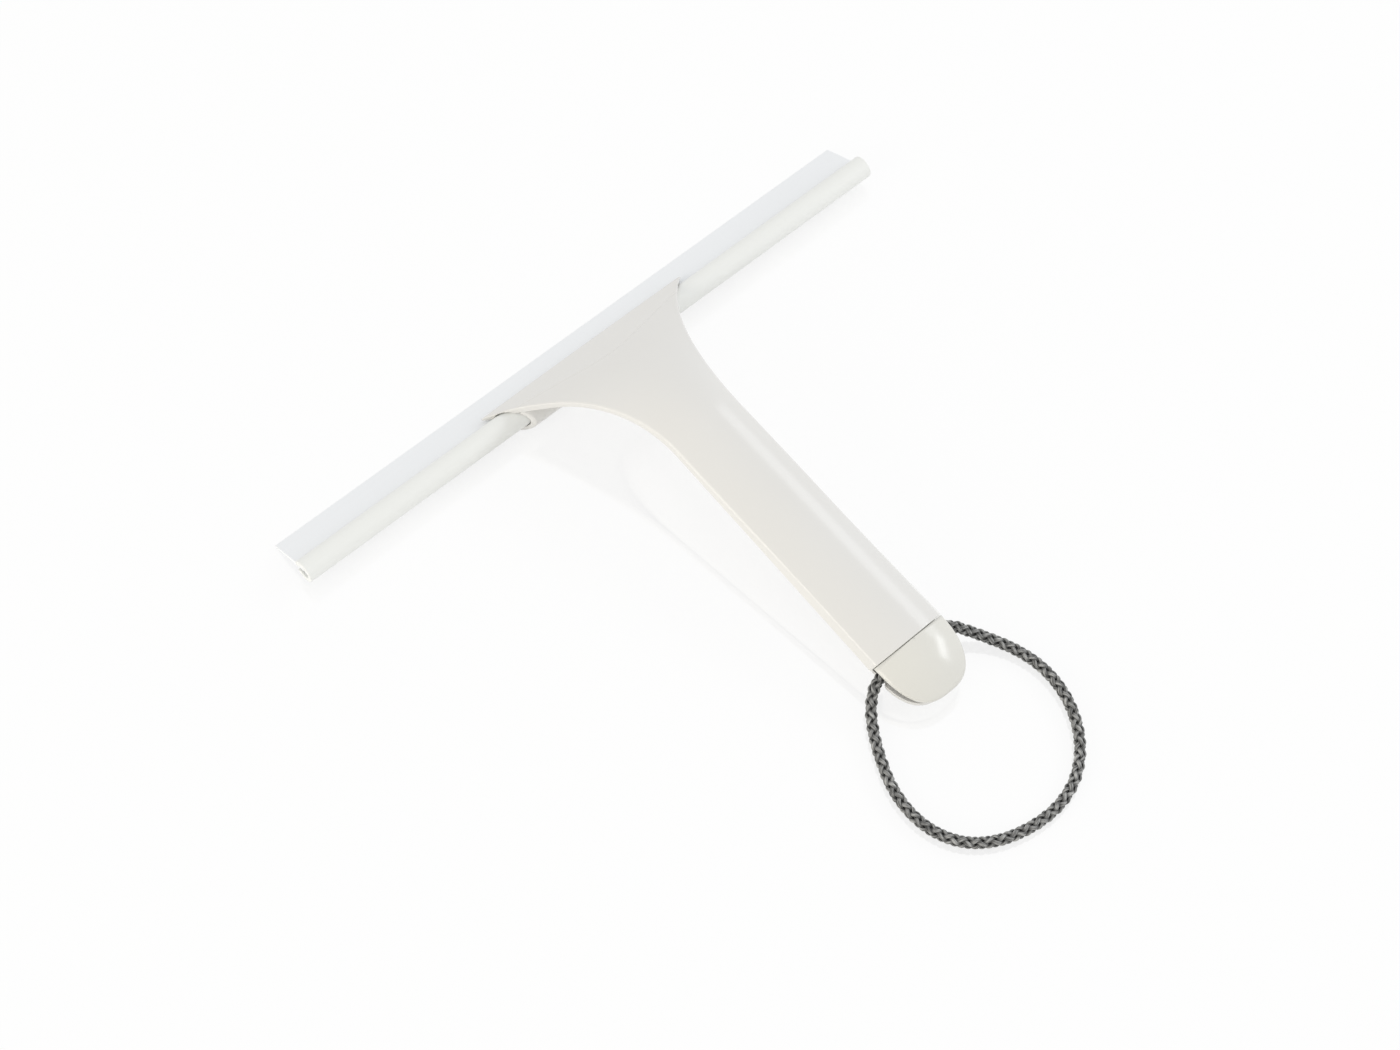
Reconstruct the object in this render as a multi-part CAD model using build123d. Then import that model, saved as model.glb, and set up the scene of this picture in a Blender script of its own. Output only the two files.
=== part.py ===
from build123d import *
import math
import os

# A window squeegee lying on a table: X runs along the blade, Y from the cap to the wiping
# edge, Z up. The origin is on the table, at the middle of the squeegee without its cord.
# "Behind" is a distance back from the axis of the blade channel, towards the cap.

# Blade: a round slotted channel that holds a rubber lip by its bead
BLADE_LENGTH = 240.0
CHANNEL_DIAMETER = 8.0
CHANNEL_WALL = 1.7
CHANNEL_HEIGHT = 6.6  # channel axis above the table
LIP_DROOP = 20.5  # degrees below level
LIP_ROOT_THICKNESS = 1.8
LIP_EDGE_THICKNESS = 1.0
LIP_END_INSET = 0.6  # lip ends inside the channel ends
BEAD_CLEARANCE = 0.3
BEAD_BACK = 1.2  # bead's flat back, behind the channel axis
BEAD_FRONT = 0.3  # bead's flat front, ahead of the channel axis
LIP_SLOT_CLEARANCE = 0.25

# Sleeve and hood: the front of the handle, wrapped round the channel
SLEEVE_CLEARANCE = 0.25
SLEEVE_WALL = 1.7
SLEEVE_MOUTH_ANGLE = 58.0  # degrees from the lip down to the sleeve's lower end
JAW_CLEARANCE = 0.5  # between the lip and the hood's front jaw
STRIP_WALL = 0.7  # least wall between channel and front strip
STRIP_ANGLE = 40.4  # degrees, slope of the flat strip over the channel
HOOD_FRONT = 7.0  # front edge, ahead of the channel axis
HOOD_HALF_WIDTH = 43.0
HOOD_OVER_AXIS = 6.5  # hood's edge above the channel axis
HOOD_RISE = 32.8  # degrees
RIDGE_RADIUS = 64.0

# Grip
NECK_BEHIND = 55.0
NECK_HALF_WIDTH = 13.6
SEAM_BEHIND = 145.3
SEAM_HALF_WIDTH = 14.0
SEAM_EDGE_HEIGHT = 13.8
SEAM_LEAN = 18.5  # degrees back from upright
SEAM_GAP = 0.4
GRIP_FALL = 9.3  # degrees
CROWN = 5.0
CROWN_START = -27.0  # behind the channel axis
CROWN_FULL = 58.0
SHELL_WALL = 2.4  # measured upright
FLANK_SPREAD = 1.0  # how far the flank stands out at the seam
FLANK_EDGE = 0.3  # top of the flank below the shell's edge
FLANK_TUCK = 0.2  # how far the flank's ends are sunk into the shell

# End cap
CAP_LENGTH = 19.0
CAP_DROOP = 2.0
END_ROUNDNESS = 2.6  # exponent of the rounded ends in plan
TONGUE_LENGTH = 9.0
TONGUE_ROOT = 5.0
TONGUE_HALF_WIDTH = 8.0
TONGUE_THICKNESS = 1.5
TONGUE_CLEARANCE = 0.3

# Underside shell
UNDER_INSET = 1.5
UNDER_WALL = 2.2  # measured upright
UNDER_DEPTH = 13.5
UNDER_GAP = 0.25
REAR_GAP = 0.8  # extra gap under the cap, where the cord comes out
REAR_GAP_RUN = 8.0
NOSE_ROOT_BEHIND = 41.4
NOSE_LENGTH = 24.0
BOSS_STATIONS = (72.0, 120.0)
BOSS_RADIUS = 3.5
BOSS_DROP = 2.0  # shoulder below the shell's edge
PIN_RADIUS = 1.75
PIN_LENGTH = 5.0
PIN_CLEARANCE = 0.05
PIN_END_CLEARANCE = 0.5

# Hanging cord
CORD_DIAMETER = 4.0
CORD_CLEARANCE = 0.75
CORD_BEHIND_SEAM = 1.5
CORD_HEIGHT = 9.9
CORD_EXIT_RUN = 9.0  # straight run from the knot to the grip's side
CORD_BEND = 0.45  # share of a run that each bend takes up
KNOT_LENGTH = 10.4
KNOT_RADIUS = 3.6
KNOT_END_RADIUS = 3.0
ANCHOR_THICKNESS = 1.8
ANCHOR_HALF_DEPTH = 4.5
ANCHOR_TOP = 12.0

# Drawing aids
MARGIN = 0.12  # share of the width that a drawn surface runs past the edge
OVERRUN = 4.0  # length that a drawn surface runs past its ends
REACH = 60.0  # a length greater than the height of the handle
SURFACE_ROWS = 46
SURFACE_COLUMNS = 13
END_POINTS = 8

# Values that follow from the sizes above
DROOP = math.radians(LIP_DROOP)
LIP_REACH = (CHANNEL_HEIGHT - LIP_EDGE_THICKNESS / 2 * math.cos(DROOP)) / math.sin(DROOP)
LIP_FRONT = LIP_REACH * math.cos(DROOP) + LIP_EDGE_THICKNESS / 2 * math.sin(DROOP)
TIP_BEHIND = SEAM_BEHIND + CAP_LENGTH
AXIS_Y = (TIP_BEHIND - LIP_FRONT) / 2
CHANNEL_RADIUS = CHANNEL_DIAMETER / 2
CAVITY_RADIUS = CHANNEL_RADIUS - CHANNEL_WALL
SLEEVE_BORE = CHANNEL_RADIUS + SLEEVE_CLEARANCE
SLEEVE_RADIUS = SLEEVE_BORE + SLEEVE_WALL
HOOD_SPAN = NECK_BEHIND + HOOD_FRONT
HOOD_FLARE = HOOD_HALF_WIDTH - NECK_HALF_WIDTH
FLARE_RADIUS = (HOOD_FLARE**2 + HOOD_SPAN**2) / (2 * HOOD_FLARE)
CORD_BEHIND = SEAM_BEHIND + CORD_BEHIND_SEAM
CORD_RADIUS = CORD_DIAMETER / 2
UNDER_TIP_BEHIND = TIP_BEHIND - UNDER_INSET


def behind(distance):
    """World Y of a place that is this far behind the channel axis."""
    return AXIS_Y - distance


def smooth_step(t):
    """0 before t = 0, 1 after t = 1, and an even S between them."""
    t = min(max(t, 0.0), 1.0)
    return t * t * (3 - 2 * t)


def half_width(u):
    """Half the handle's width in plan: a flare arc, then a straight grip."""
    if u < NECK_BEHIND:
        return NECK_HALF_WIDTH + FLARE_RADIUS - math.sqrt(FLARE_RADIUS**2 - (NECK_BEHIND - u) ** 2)
    share = min((u - NECK_BEHIND) / (SEAM_BEHIND - NECK_BEHIND), 1.0)
    return NECK_HALF_WIDTH + share * (SEAM_HALF_WIDTH - NECK_HALF_WIDTH)


def edge_height(u):
    """Height of the handle's top edge: a rising line, an arc and a falling line."""
    rise = math.radians(HOOD_RISE)
    fall = math.radians(GRIP_FALL)
    hood_height = CHANNEL_HEIGHT + HOOD_OVER_AXIS
    grip_height = SEAM_EDGE_HEIGHT + math.tan(fall) * SEAM_BEHIND
    corner = (grip_height - hood_height) / (math.tan(rise) + math.tan(fall))
    tangent = RIDGE_RADIUS * math.tan((rise + fall) / 2)
    arc_start = corner - tangent * math.cos(rise)
    arc_end = corner + tangent * math.cos(fall)
    if u < arc_start:
        return hood_height + math.tan(rise) * u
    if u > arc_end:
        return grip_height - math.tan(fall) * u
    centre_u = arc_start + RIDGE_RADIUS * math.sin(rise)
    centre_z = hood_height + math.tan(rise) * arc_start - RIDGE_RADIUS * math.cos(rise)
    return centre_z + math.sqrt(RIDGE_RADIUS**2 - (u - centre_u) ** 2)


def top_height(x, u):
    """Height of the crowned top surface, with the cap's rounded fall at the end."""
    across = abs(x) / half_width(u)
    cap = max(0.0, (u - SEAM_BEHIND) / CAP_LENGTH)
    crown = CROWN * smooth_step((u - CROWN_START) / (CROWN_FULL - CROWN_START))
    return edge_height(u) - CAP_DROOP * cap**2 + crown * (1 - across**2 - cap**END_ROUNDNESS)


def under_half_width(u):
    """Half the underside shell's width, before its ends are rounded."""
    return half_width(max(u, NECK_BEHIND)) - UNDER_INSET


def under_height(x, u):
    """Height of the underside: a trough that closes at the nose and at the rear."""
    across = abs(x) / under_half_width(u)
    nose = max(0.0, (NOSE_ROOT_BEHIND - u) / NOSE_LENGTH)
    rear = max(0.0, (u - SEAM_BEHIND) / (UNDER_TIP_BEHIND - SEAM_BEHIND))
    rear_step = smooth_step((u - SEAM_BEHIND + REAR_GAP_RUN) / REAR_GAP_RUN)
    rim = top_height(x, u) - SHELL_WALL - UNDER_GAP - REAR_GAP * rear_step
    trough = 1 - across**END_ROUNDNESS - nose**END_ROUNDNESS - rear**END_ROUNDNESS
    return rim - UNDER_WALL - UNDER_DEPTH * trough


def surface(height, width, start, stop):
    """A smooth face through heights worked out on a grid as wide as the handle."""
    rows = []
    for i in range(SURFACE_ROWS):
        u = start + (stop - start) * i / (SURFACE_ROWS - 1)
        row = []
        for j in range(SURFACE_COLUMNS):
            x = width(u) * (1 + MARGIN) * (2 * j / (SURFACE_COLUMNS - 1) - 1)
            row.append((x, behind(u), height(x, u)))
        rows.append(row)
    return Face.make_surface_from_array_of_points(rows, min_deg=3)


def rounded_end(half, root, length):
    """Plan points of one side of a rounded end, from its root to its tip."""
    points = []
    for i in range(END_POINTS + 1):
        angle = math.pi / 2 * i / END_POINTS
        across = half * math.cos(angle) ** (2 / END_ROUNDNESS)
        along = length * math.sin(angle) ** (2 / END_ROUNDNESS)
        points.append((across, behind(root + along)))
    return points


def mirrored_prism(side_edges, low, high):
    """Upright prism on a plan outline given by its right-hand edges, front to rear."""
    right = Curve() + side_edges
    outline = make_face(Curve() + [right, mirror(right, about=Plane.YZ)])
    return Pos(0, 0, low) * extrude(outline, high - low)


def handle_prism():
    """The handle's outline in plan: hood flare, grip sides and the rounded cap."""
    corner = (HOOD_HALF_WIDTH, behind(-HOOD_FRONT))
    neck = (NECK_HALF_WIDTH, behind(NECK_BEHIND))
    seam = (SEAM_HALF_WIDTH, behind(SEAM_BEHIND))
    front = Line((0, behind(-HOOD_FRONT)), corner)
    middle_u = (NECK_BEHIND - HOOD_FRONT) / 2
    flare = ThreePointArc(corner, (half_width(middle_u), behind(middle_u)), neck)
    side = Line(neck, seam)
    end_points = rounded_end(SEAM_HALF_WIDTH, SEAM_BEHIND, CAP_LENGTH)
    end = Spline(end_points, tangents=[(0, -1), (-1, 0)])
    return mirrored_prism([front, flare, side, end], -OVERRUN, REACH)


def under_prism():
    """The underside shell's outline in plan, rounded at both ends."""
    neck_half = under_half_width(NECK_BEHIND)
    seam_half = under_half_width(SEAM_BEHIND)
    nose_points = rounded_end(neck_half, NOSE_ROOT_BEHIND, -NOSE_LENGTH)[::-1]
    nose = Spline(nose_points, tangents=[(1, 0), (0, -1)])
    straight = Line((neck_half, behind(NOSE_ROOT_BEHIND)), (neck_half, behind(NECK_BEHIND)))
    side = Line((neck_half, behind(NECK_BEHIND)), (seam_half, behind(SEAM_BEHIND)))
    rear_points = rounded_end(seam_half, SEAM_BEHIND, UNDER_TIP_BEHIND - SEAM_BEHIND)
    rear = Spline(rear_points, tangents=[(0, -1), (-1, 0)])
    return mirrored_prism([nose, straight, side, rear], 0, REACH)


def across_blade(points, half_length):
    """Prism along X on an outline given as (Y, Z) points."""
    face = Plane.YZ * make_face(Polyline(points, close=True))
    return extrude(face, half_length, both=True)


def rod(y, z, radius, half_length):
    """Round bar along X."""
    return extrude(Plane.YZ * Pos(y, z) * Circle(radius), half_length, both=True)


def lip_point(along, up):
    """(Y, Z) of a point in the lip's own plane: along from the channel axis, and up."""
    y = AXIS_Y + along * math.cos(DROOP) + up * math.sin(DROOP)
    z = CHANNEL_HEIGHT - along * math.sin(DROOP) + up * math.cos(DROOP)
    return (y, z)


def wiper_lip():
    """Rubber lip: a flat bead in the channel and a blade that thins to the wiping edge."""
    half_length = BLADE_LENGTH / 2 - LIP_END_INSET
    root = LIP_ROOT_THICKNESS / 2
    edge = LIP_EDGE_THICKNESS / 2
    outline = [
        lip_point(0, root),
        lip_point(CHANNEL_RADIUS, root),
        lip_point(LIP_REACH, edge),
        lip_point(LIP_REACH, -edge),
        lip_point(CHANNEL_RADIUS, -root),
        lip_point(0, -root),
    ]
    bead_outline = [
        lip_point(-BEAD_BACK, CAVITY_RADIUS),
        lip_point(BEAD_FRONT, CAVITY_RADIUS),
        lip_point(BEAD_FRONT, -CAVITY_RADIUS),
        lip_point(-BEAD_BACK, -CAVITY_RADIUS),
    ]
    bead = rod(AXIS_Y, CHANNEL_HEIGHT, CAVITY_RADIUS - BEAD_CLEARANCE, half_length)
    bead &= across_blade(bead_outline, half_length)
    return bead + across_blade(outline, half_length)


def blade_channel():
    """Round tube, open at both ends, with a slot for the lip."""
    half_length = BLADE_LENGTH / 2
    slot = LIP_ROOT_THICKNESS / 2 + LIP_SLOT_CLEARANCE
    slot_outline = [
        lip_point(0, slot),
        lip_point(CHANNEL_DIAMETER, slot),
        lip_point(CHANNEL_DIAMETER, -slot),
        lip_point(0, -slot),
    ]
    tube = rod(AXIS_Y, CHANNEL_HEIGHT, CHANNEL_RADIUS, half_length)
    tube -= rod(AXIS_Y, CHANNEL_HEIGHT, CAVITY_RADIUS, half_length)
    return tube - across_blade(slot_outline, half_length)


def strip_height(u):
    """Height of the flat strip over the channel."""
    slope = math.radians(STRIP_ANGLE)
    return CHANNEL_HEIGHT + (SLEEVE_BORE + STRIP_WALL) / math.cos(slope) + math.tan(slope) * u


def sleeve():
    """C-shaped sleeve round the channel, with the hood's front jaw."""
    front_u = -HOOD_FRONT
    jaw = across_blade(
        [
            (behind(front_u), CHANNEL_HEIGHT - SLEEVE_BORE),
            (behind(front_u), strip_height(front_u)),
            (behind(0), strip_height(0)),
            (behind(0), CHANNEL_HEIGHT - SLEEVE_BORE),
        ],
        HOOD_HALF_WIDTH,
    )
    ring = rod(AXIS_Y, CHANNEL_HEIGHT, SLEEVE_RADIUS, HOOD_HALF_WIDTH) + jaw
    mouth_half = LIP_ROOT_THICKNESS / 2 + JAW_CLEARANCE
    mouth = math.radians(SLEEVE_MOUTH_ANGLE)
    cut = across_blade(
        [
            lip_point(0, mouth_half),
            lip_point(REACH, mouth_half),
            lip_point(REACH, -REACH),
            lip_point(REACH * math.cos(mouth), -REACH * math.sin(mouth)),
            lip_point(0, 0),
        ],
        HOOD_HALF_WIDTH,
    )
    return ring - cut


def seam_plane(offset):
    """The plane that parts shell and cap, moved forward by an offset."""
    lean = math.radians(SEAM_LEAN)
    forward = Vector(0, math.cos(lean), math.sin(lean))
    origin = Vector(0, behind(SEAM_BEHIND), SEAM_EDGE_HEIGHT) + forward * offset
    return Plane(origin, x_dir=(1, 0, 0), z_dir=forward)


def flank(side):
    """Sloping flank along one side of the grip, from nothing at the neck to the seam."""
    sections = []
    for u, spread in ((NECK_BEHIND, -FLANK_TUCK), (SEAM_BEHIND, FLANK_SPREAD)):
        top = edge_height(u) - FLANK_EDGE
        low = edge_height(u) - SHELL_WALL - FLANK_TUCK
        outer = half_width(u)
        inner = outer - UNDER_INSET + UNDER_GAP
        corners = [
            (side * (outer - FLANK_TUCK), top),
            (side * (outer + spread), low),
            (side * inner, low),
            (side * inner, top),
        ]
        place = Plane((0, behind(u), 0), x_dir=(1, 0, 0), z_dir=(0, -1, 0))
        sections.append(place * make_face(Polyline(corners, close=True)))
    return loft(sections, ruled=True)


def boss_shoulder(u):
    """Height at which the shells' bosses meet."""
    return edge_height(u) - BOSS_DROP


def upright(u, radius, low, high):
    """Upright round bar on the middle line of the handle."""
    return Pos(0, behind(u), low) * extrude(Circle(radius), high - low)


def cord_notch():
    """Round bar that clears the cord's way out on both sides of the seam."""
    return rod(behind(CORD_BEHIND), CORD_HEIGHT, CORD_RADIUS + CORD_CLEARANCE, REACH)


def handle_shell(top_face, outline):
    """Hood, flare and grip top in one moulding, with the sleeve under its front."""
    skin = extrude(top_face, SHELL_WALL, dir=(0, 0, -1))
    mid_skin = Pos(0, 0, -SHELL_WALL / 2) * top_face
    below_skin = extrude(mid_skin, REACH, dir=(0, 0, -1))
    strip_cut = across_blade(
        [
            (behind(-HOOD_FRONT - OVERRUN), strip_height(-HOOD_FRONT - OVERRUN)),
            (behind(REACH), strip_height(REACH)),
            (behind(-HOOD_FRONT - OVERRUN), strip_height(REACH)),
        ],
        HOOD_HALF_WIDTH + REACH,
    )
    front = skin + (sleeve() & below_skin)
    shell = (front - strip_cut) & outline
    shell -= rod(AXIS_Y, CHANNEL_HEIGHT, SLEEVE_BORE, HOOD_HALF_WIDTH)
    shell += [flank(1), flank(-1)]
    for u in BOSS_STATIONS:
        boss = upright(u, BOSS_RADIUS, boss_shoulder(u), REACH) & below_skin
        hole_top = boss_shoulder(u) + PIN_LENGTH + PIN_END_CLEARANCE
        hole = upright(u, PIN_RADIUS + PIN_CLEARANCE, boss_shoulder(u), hole_top)
        shell = shell + boss - hole
    shell -= cord_notch()
    return split(shell, bisect_by=seam_plane(SEAM_GAP / 2), keep=Keep.TOP)


def end_cap(top_face, outline):
    """Rounded cap on the end of the grip, held by a tongue under the shell."""
    skin = extrude(top_face, SHELL_WALL, dir=(0, 0, -1)) & outline
    cap = split(skin, bisect_by=seam_plane(-SEAM_GAP / 2), keep=Keep.BOTTOM)
    tongue_top = Pos(0, 0, -SHELL_WALL - TONGUE_CLEARANCE) * top_face
    length = TONGUE_LENGTH + TONGUE_ROOT
    middle = SEAM_BEHIND - TONGUE_LENGTH + length / 2
    block = Pos(0, behind(middle), REACH / 2) * Box(2 * TONGUE_HALF_WIDTH, length, REACH)
    tongue = extrude(tongue_top, TONGUE_THICKNESS, dir=(0, 0, -1)) & block
    root_top = Pos(0, 0, -SHELL_WALL / 2) * top_face
    root = extrude(root_top, SHELL_WALL / 2 + 2 * TONGUE_CLEARANCE, dir=(0, 0, -1)) & block
    root = split(root, bisect_by=seam_plane(-SEAM_GAP / 2), keep=Keep.BOTTOM)
    return cap + tongue + root - cord_notch()


def underside_shell(under_face, outline):
    """Trough that closes the grip from below, with pins and the cord's anchor plates."""
    above = extrude(under_face, REACH, dir=(0, 0, 1)) & outline
    shell = extrude(under_face, UNDER_WALL, dir=(0, 0, 1)) & outline
    for u in BOSS_STATIONS:
        shell += upright(u, BOSS_RADIUS, 0, boss_shoulder(u)) & above
        shell += upright(u, PIN_RADIUS, boss_shoulder(u) - UNDER_WALL, boss_shoulder(u) + PIN_LENGTH)
    for side in (1, -1):
        x = side * (KNOT_LENGTH + ANCHOR_THICKNESS) / 2
        plate = Box(ANCHOR_THICKNESS, 2 * ANCHOR_HALF_DEPTH, ANCHOR_TOP)
        shell += Pos(x, behind(CORD_BEHIND), ANCHOR_TOP / 2) * plate & above
    shell -= cord_notch()
    gap = CORD_RADIUS + CORD_CLEARANCE
    slot = Pos(0, behind(CORD_BEHIND), CORD_HEIGHT + REACH / 2) * Box(2 * REACH, 2 * gap, REACH)
    return shell - slot


def cord_knot():
    """Knot that joins the cord's two ends between the anchor plates."""
    half = KNOT_LENGTH / 2
    profile = make_face(
        Curve()
        + [
            Line((-half, 0), (-half, KNOT_END_RADIUS)),
            ThreePointArc((-half, KNOT_END_RADIUS), (0, KNOT_RADIUS), (half, KNOT_END_RADIUS)),
            Line((half, KNOT_END_RADIUS), (half, 0)),
            Line((half, 0), (-half, 0)),
        ]
    )
    knot = revolve(profile, axis=Axis.X)
    return Pos(0, behind(CORD_BEHIND), CORD_HEIGHT) * knot


def cord_route():
    """Points of the cord: out of the left side, round on the table, in at the right."""
    free = [
        (-19.8, 3.3, 3.0),
        (-24.5, 9.6, 0.4),
        (-29.1, 17.6, 0.05),
        (-33.2, 26.6, 0.05),
        (-35.1, 36.3, 0.05),
        (-34.1, 45.8, 0.05),
        (-29.9, 54.2, 0.05),
        (-22.5, 60.2, 0.05),
        (-12.5, 63.7, 0.05),
        (-1.6, 64.7, 0.05),
        (8.8, 62.2, 0.05),
        (17.7, 56.2, 0.05),
        (24.4, 47.7, 0.05),
        (28.5, 37.9, 0.05),
        (29.6, 27.9, 0.05),
        (27.8, 18.7, 0.15),
        (24.0, 10.7, 1.0),
        (19.4, 4.2, 3.4),
    ]
    knot_end = KNOT_LENGTH / 2
    exit_end = knot_end + CORD_EXIT_RUN
    exit_y = behind(CORD_BEHIND)
    route = [Vector(-knot_end, exit_y, CORD_HEIGHT), Vector(-exit_end, exit_y, CORD_HEIGHT)]
    for x, back, clear in free:
        route.append(Vector(x, exit_y - back, CORD_RADIUS + clear))
    route.append(Vector(exit_end, exit_y, CORD_HEIGHT))
    route.append(Vector(knot_end, exit_y, CORD_HEIGHT))
    return route


def hanging_cord():
    """The cord's loop: a tube on straight runs joined by the largest arcs they allow."""
    points = cord_route()
    radii = []
    for before, here, after in zip(points, points[1:], points[2:]):
        run_in = here - before
        run_out = after - here
        turn = math.radians(run_in.get_angle(run_out))
        radii.append(CORD_BEND * min(run_in.length, run_out.length) / math.tan(turn / 2))
    path = FilletPolyline(points, radius=radii)
    start = Plane(path @ 0, z_dir=path % 0)
    cord = sweep(start * Circle(CORD_RADIUS), path=path)
    section_times_length = math.pi * CORD_RADIUS**2 * path.length
    print("cord radii", [round(r, 1) for r in radii])
    print("cord length", round(path.length, 1), "volume share", cord.volume / section_times_length)
    return cord


top_face = surface(top_height, half_width, -HOOD_FRONT - OVERRUN, TIP_BEHIND + OVERRUN)
under_face = surface(
    under_height,
    under_half_width,
    NOSE_ROOT_BEHIND - NOSE_LENGTH - OVERRUN,
    UNDER_TIP_BEHIND + OVERRUN,
)
handle_outline = handle_prism()

pieces = {
    "handle_shell": handle_shell(top_face, handle_outline),
    "underside_shell": underside_shell(under_face, under_prism()),
    "end_cap": end_cap(top_face, handle_outline),
    "blade_channel": blade_channel(),
    "wiper_lip": wiper_lip(),
    "hanging_cord": hanging_cord(),
    "cord_knot": cord_knot(),
}

os.makedirs("parts", exist_ok=True)
for name, piece in pieces.items():
    export_step(piece, f"parts/{name}.step")
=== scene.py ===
"""Looks of a window squeegee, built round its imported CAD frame.

X runs along the blade, Y from the end cap to the wiping edge and Z up from the table. Sizes in the
classes are millimetres, and meshes are metres. "Behind" is the distance back from the axis of the
blade channel towards the cap.
"""

import logging
import math
from dataclasses import dataclass
from enum import Enum

import bmesh
import bpy
import numpy as np
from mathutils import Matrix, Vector

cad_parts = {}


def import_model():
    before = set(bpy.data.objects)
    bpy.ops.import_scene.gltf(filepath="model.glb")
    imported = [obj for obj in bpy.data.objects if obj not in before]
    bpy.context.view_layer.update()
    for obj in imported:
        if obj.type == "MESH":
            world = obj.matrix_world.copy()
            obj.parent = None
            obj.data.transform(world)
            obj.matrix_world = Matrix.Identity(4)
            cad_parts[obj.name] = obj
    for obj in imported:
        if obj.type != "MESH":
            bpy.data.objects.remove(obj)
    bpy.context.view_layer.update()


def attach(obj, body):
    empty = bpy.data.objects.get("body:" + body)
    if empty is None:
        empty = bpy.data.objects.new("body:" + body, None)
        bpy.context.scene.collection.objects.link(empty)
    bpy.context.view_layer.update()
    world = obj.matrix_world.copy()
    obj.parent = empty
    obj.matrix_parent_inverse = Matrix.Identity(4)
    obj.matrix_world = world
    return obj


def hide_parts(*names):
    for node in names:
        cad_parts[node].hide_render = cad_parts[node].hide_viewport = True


LOG = logging.getLogger("squeegee")
MM = 0.001
WELD_MM = 0.002  # points of a piece that are nearer than this are one
Array = np.ndarray


class Border(Enum):
    """Edges of a grid of points that a wall can close."""

    FIRST_ROW = "first row"
    LAST_ROW = "last row"
    FIRST_COLUMN = "first column"
    LAST_COLUMN = "last column"


ALL_BORDERS = tuple(Border)


@dataclass
class Patch:
    """Points (n, 3) in millimetres and quads (m, 4) that index them.

    A patch of yarn also has its lay (n, 2), the way along and round a strand, and its depth (n,),
    which is 0 at the middle of the cord and 1 at its outside.
    """

    points: Array
    quads: Array
    lay: Array | None = None
    depth: Array | None = None


def grid_quads(rows: int, columns: int) -> Array:
    """Quads between neighbouring points of a grid stored row by row.

    Args:
        rows: number of rows of points.
        columns: number of points in a row.

    Returns:
        Indices of shape ((rows - 1) * (columns - 1), 4).
    """
    corner = np.arange(rows - 1)[:, None] * columns + np.arange(columns - 1)[None, :]
    quads = np.stack([corner, corner + 1, corner + columns + 1, corner + columns], -1)
    return quads.reshape(-1, 4)


def thick_sheet(outer: Array, inner: Array, walls: tuple[Border, ...] = ALL_BORDERS) -> Patch:
    """Closed sheet between two grids: both faces, and walls along the named borders.

    Args:
        outer: points of one face, of shape (rows, columns, 3).
        inner: points of the other face, each across from its outer point.
        walls: borders where the two faces are joined.

    Returns:
        The sheet as one patch.
    """
    rows, columns = outer.shape[:2]
    count = rows * columns
    index = np.arange(count).reshape(rows, columns)
    lines = {
        Border.FIRST_ROW: index[0],
        Border.LAST_ROW: index[-1, ::-1],
        Border.FIRST_COLUMN: index[::-1, 0],
        Border.LAST_COLUMN: index[:, -1],
    }
    skin = grid_quads(rows, columns)
    quads = [skin, skin[:, ::-1] + count]
    for border in walls:
        line = lines[border]
        quads.append(np.stack([line[1:], line[:-1], line[:-1] + count, line[1:] + count], -1))
    points = np.concatenate([outer.reshape(-1, 3), inner.reshape(-1, 3)])
    return Patch(points, np.concatenate(quads))


def corner_curve(start: Array, corner: Array, end: Array, count: int) -> Array:
    """Rounded corner: (1-t)^2 start + 2t(1-t) corner + t^2 end, for t from 0 to 1.

    Args:
        start: points where the curve begins, of shape (rows, 2).
        corner: the sharp corners that are rounded off.
        end: points where the curve ends.
        count: number of points on each curve.

    Returns:
        Points of shape (rows, count, 2).
    """
    t = np.linspace(0.0, 1.0, count)[None, :, None]
    a, b, c = start[:, None, :], corner[:, None, :], end[:, None, :]
    return (1 - t) ** 2 * a + 2 * t * (1 - t) * b + t**2 * c


def smooth_step(t: Array) -> Array:
    """0 before t = 0, 1 after t = 1, and 3t^2 - 2t^3 between them."""
    t = np.clip(t, 0.0, 1.0)
    return t * t * (3 - 2 * t)


def unit(vectors: Array) -> Array:
    """Vectors along the last axis, each scaled to length 1."""
    return vectors / np.linalg.norm(vectors, axis=-1, keepdims=True)


def soft_min(a: Array, b: Array, width: float) -> Array:
    """The lower of two heights, rounded over a width where they cross."""
    return 0.5 * (a + b - np.sqrt((a - b) ** 2 + width**2))


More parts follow.
